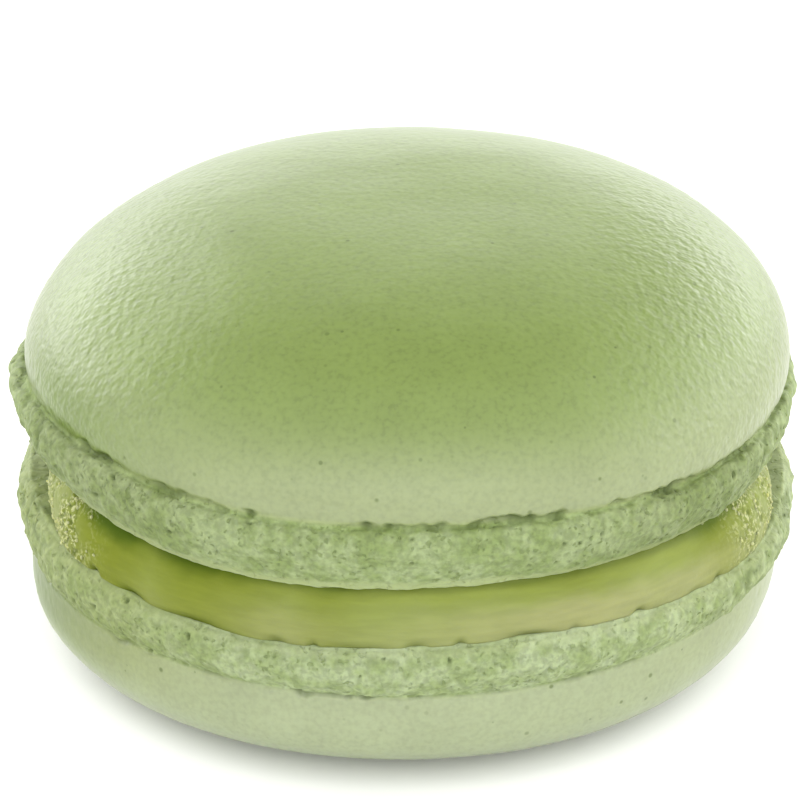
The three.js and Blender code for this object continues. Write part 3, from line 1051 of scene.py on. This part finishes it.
def shellMaterial(name, finish):
    look = bakedLook
    material, tree, body, place = openMaterial(name)
    place = shifted(place, finish["shift"])
    names = ("aboveSeam", "fromLip", "hollowShade", "paintedShade", "rimShade")
    aboveSeam, fromLip, hollowShade, paintedShade, rimShade = readings(tree, *names)

    skin = skinColour(place, finish, aboveSeam, rimShade)
    foot, pores = footColour(place, finish, fromLip)
    colour = blend(fade(aboveSeam, *look["skinAboveSeam"]), foot, skin)
    # painted shade at the spots listed in the shell, above the seam
    paintedShade = times(paintedShade, fade(aboveSeam, finish["paintedShadeReach"], 0.0))
    # painted light that lifts the shade along the seam
    valley = times(fade(aboveSeam, *look["valleyBelow"]), fade(aboveSeam, *look["valleyAbove"]))
    for amount, shade in ((paintedShade, finish["paintedShade"]), (valley, finish["valley"])):
        colour = calcVector("MULTIPLY", colour, blend(amount, (1, 1, 1), shade))
    # painted shade in holes, froth and the seam
    colour = blend(times(hollowShade, look["hollowStrength"]), colour, finish["hole"])

    onCap = fade(aboveSeam, *look["smoothAboveSeam"])
    roughness = fade(onCap, 0.0, 1.0, look["footRoughness"], look["capRoughness"])
    flank = leathery(minus(sideways(place), finish["shift"]), 1.0)
    peel = times(grain(place, look["peelSize"]), finish["peel"], flank)
    spongy = times(grain(place, look["spongeSize"], 2.0), look["spongeBump"])
    spongy = total(spongy, times(pores, look["poreBump"]))
    closeMaterial(tree, body, look, colour, roughness, blendNumber(onCap, spongy, peel))
    return material


creamFinish = {
    # The side goes from a saturated top, painted shade under the upper shell, to a paler bottom, painted
    # light on the bulge.
    "top": (0.191, 0.233, 0.030),
    "middle": (0.183, 0.220, 0.047),
    "bottom": (0.212, 0.242, 0.073),
    # painted shade under the upper shell's lip, at the listed spots
    "green": (0.047, 0.082, 0.003),
    # painted shade: the dark wedge under the lip at the listed spots
    "left": (0.136, 0.163, 0.012),
    "pale": (0.242, 0.253, 0.100),
    "shade": (0.093, 0.125, 0.009),
    "crumb": (0.400, 0.415, 0.200),
    # painted shade in holes, crumb hollows and grooves
    "hole": (0.055, 0.080, 0.004),
    "wobble": 0.35,  # how far the colours wander up and down, as a share of the height
    "wobbleSize": 2.6,
    "toBottom": (0.6, 0.1),
    "toTop": (0.5, 0.95),
    "toShade": (0.80, 0.93),  # a darker line under the upper shell
    "shadeWobble": 0.2,
    "toGreen": (0.85, 1.15),
    "greenDrop": 0.28,  # the green comes this much lower where it is strongest
    "toPale": (0.75, 0.35),
    "fleckSize": 0.22,
    "flecks": (0.5, 0.62),
    "leftStrength": 0.85,
    "shadeStrength": 0.7,
    "holeStrength": 0.7,
    "grooveStrength": 0.95,
    "looseStrength": 0.8,
    "streakShape": (0.5, 0.5, 3.0),
    "streaks": (0.3, 0.7, 0.95, 1.05),
    "roughness": (0.0, 1.0, 0.5, 0.55),
    "shine": (0.0, 0.9, 0.35, 0.05),
    "shader": {
        "IOR": 1.42,
        "Subsurface Weight": 0.25,
        "Subsurface Radius": (1.2, 1.1, 0.2),
        "Subsurface Scale": 1.3 * mm,
    },
    "bumpSize": 0.3,
    "bump": (0.0, 1.0, 0.02, 0.1),
}


def creamMaterial():
    look = creamFinish
    material, tree, body, place = openMaterial("filling cream")
    names = ("share", "hollowShade", "rough", "underLipShade", "paler", "groove", "loose")
    height, hollowShade, rough, underLipShade, paler, groove, loose = readings(tree, *names)
    wobble = times(minus(grain(place, look["wobbleSize"], 2.0), 0.5), look["wobble"])
    level = total(height, wobble)
    line = fade(total(height, times(wobble, look["shadeWobble"])), *look["toShade"])
    green = total(height, times(underLipShade, look["greenDrop"]), wobble)
    fleck = grain(place, look["fleckSize"], 2.0, shift=3.0)

    colour = look["middle"]
    for amount, over in (
            (fade(level, *look["toBottom"]), look["bottom"]),
            (fade(level, *look["toTop"]), look["top"]),
            (times(underLipShade, look["leftStrength"]), look["left"]),
            (times(line, look["shadeStrength"]), look["shade"]),
            (times(underLipShade, fade(green, *look["toGreen"])), look["green"]),
            (times(paler, fade(level, *look["toPale"])), look["pale"]),
            (times(rough, fade(fleck, *look["flecks"])), look["crumb"]),
            (times(hollowShade, look["holeStrength"]), look["hole"]),
            (times(groove, look["grooveStrength"]), look["hole"]),
            (times(loose, look["looseStrength"]), look["crumb"])):
        colour = blend(amount, colour, over)
    streaks = grain(calcVector("MULTIPLY", place, look["streakShape"]), 1.0, 3.0)
    colour = brighten(colour, fade(streaks, *look["streaks"]))

    tree.links.new(fade(underLipShade, *look["shine"]), body.inputs["Specular IOR Level"])
    bump = times(grain(place, look["bumpSize"], 3.0), fade(rough, *look["bump"]))
    closeMaterial(tree, body, look, colour, fade(rough, *look["roughness"]), bump)
    return material


# Putting the macaron together

print("shells stand at", upperAxis.round(3), "and", lowerAxis.round(3))

bakedRelief = reliefTree()
upper = makeShell("upper_baked_shell", upperShell, upperFace, upperAxis, False)
dressing = {"Shift": upperShell["reliefShift"], "Material": shellMaterial("upper shell", upperFinish)}
runTree(upper, bakedRelief, dressing)
lower = makeShell("lower_baked_shell", lowerShell, lowerFace, lowerAxis, True)
dressing = {"Shift": lowerShell["reliefShift"], "Material": shellMaterial("lower shell", lowerFinish)}
runTree(lower, bakedRelief, dressing)
cream = makeFilling(lowerFace, upperFace, lowerAxis)
runTree(cream, fillingTree(), {"Material": creamMaterial()})

for piece, node in ((upper, "upper_shell"), (lower, "lower_shell"), (cream, "filling")):
    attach(piece, "root")
    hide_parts(node)
print("macaron is dressed")


# Table and light

studio = {
    "tableRadius": 3.0,  # in metres
    "tableCorners": 64,
    "tableColour": (0.97, 0.97, 0.97),
    "wall": 1.45,  # brightness of the white room
    "seenWall": 1.2,  # where the camera sees it
    # a panel is where it hangs, the cosines where it is faint and full, and the light that it adds or takes
    "panels": [
        ((0.0, 0.58, 0.81), 0.60, 0.96, -1.08),
        ((0.93, 0.40, 0.1), 0.5, 1.0, 2.1),
        ((-0.85, 0.5, 0.1), 0.6, 1.0, 0.7),
        ((0.1, 1.0, 0.1), 0.5, 1.0, 1.0),
        ((0.0, -1.0, 0.0), 0.5, 1.0, 1.35),
    ],
    "sun": 1.25,
    "sunFrom": (-0.60, 0.58, 0.42),
    "sunWidth": 55.0,
}


def makeTable():
    mesh = bpy.data.meshes.new("table")
    corners = range(studio["tableCorners"])
    turns = [2 * math.pi * i / len(corners) for i in corners]
    reach = studio["tableRadius"]
    edge = [(reach * math.cos(turn), reach * math.sin(turn), 0) for turn in turns]
    mesh.from_pydata(edge, [], [list(corners)])
    table = addObject("table", mesh)
    material = bpy.data.materials.new("white table")
    material.use_nodes = True
    body = material.node_tree.nodes["Principled BSDF"]
    body.inputs["Base Color"].default_value = (*studio["tableColour"], 1)
    body.inputs["Roughness"].default_value = 1
    body.inputs["Specular IOR Level"].default_value = 0
    mesh.materials.append(material)


def makeRoom():
    # a white room with soft panels, and plain white where it is seen directly
    world = bpy.data.worlds.new("room")
    world.use_nodes = True
    bpy.context.scene.world = world
    tree = world.node_tree
    tree.nodes.clear()
    direction = tree.nodes.new("ShaderNodeTexCoord").outputs["Generated"]
    light = studio["wall"]
    for towards, faint, full, gain in studio["panels"]:
        plugs = {0: direction, 1: tuple(Vector(towards).normalized())}
        facing = addNode(tree, "ShaderNodeVectorMath", plugs, operation="DOT_PRODUCT").outputs["Value"]
        light = total(light, fade(facing, faint, full, 0.0, gain))
    seen = tree.nodes.new("ShaderNodeLightPath").outputs["Is Camera Ray"]
    light = blendNumber(seen, light, studio["seenWall"])
    background = outputOf(tree, "ShaderNodeBackground", {"Color": (1, 1, 1, 1), "Strength": light})
    tree.links.new(background, tree.nodes.new("ShaderNodeOutputWorld").inputs[0])


def makeSun():
    data = bpy.data.lights.new("sun", "SUN")
    data.energy = studio["sun"]
    data.angle = math.radians(studio["sunWidth"])
    sun = addObject("sun", data)
    sun.rotation_euler = Vector(studio["sunFrom"]).to_track_quat("Z", "Y").to_euler()


makeTable()
makeRoom()
makeSun()
bpy.context.scene.view_settings.view_transform = "Standard"
print("room is lit")
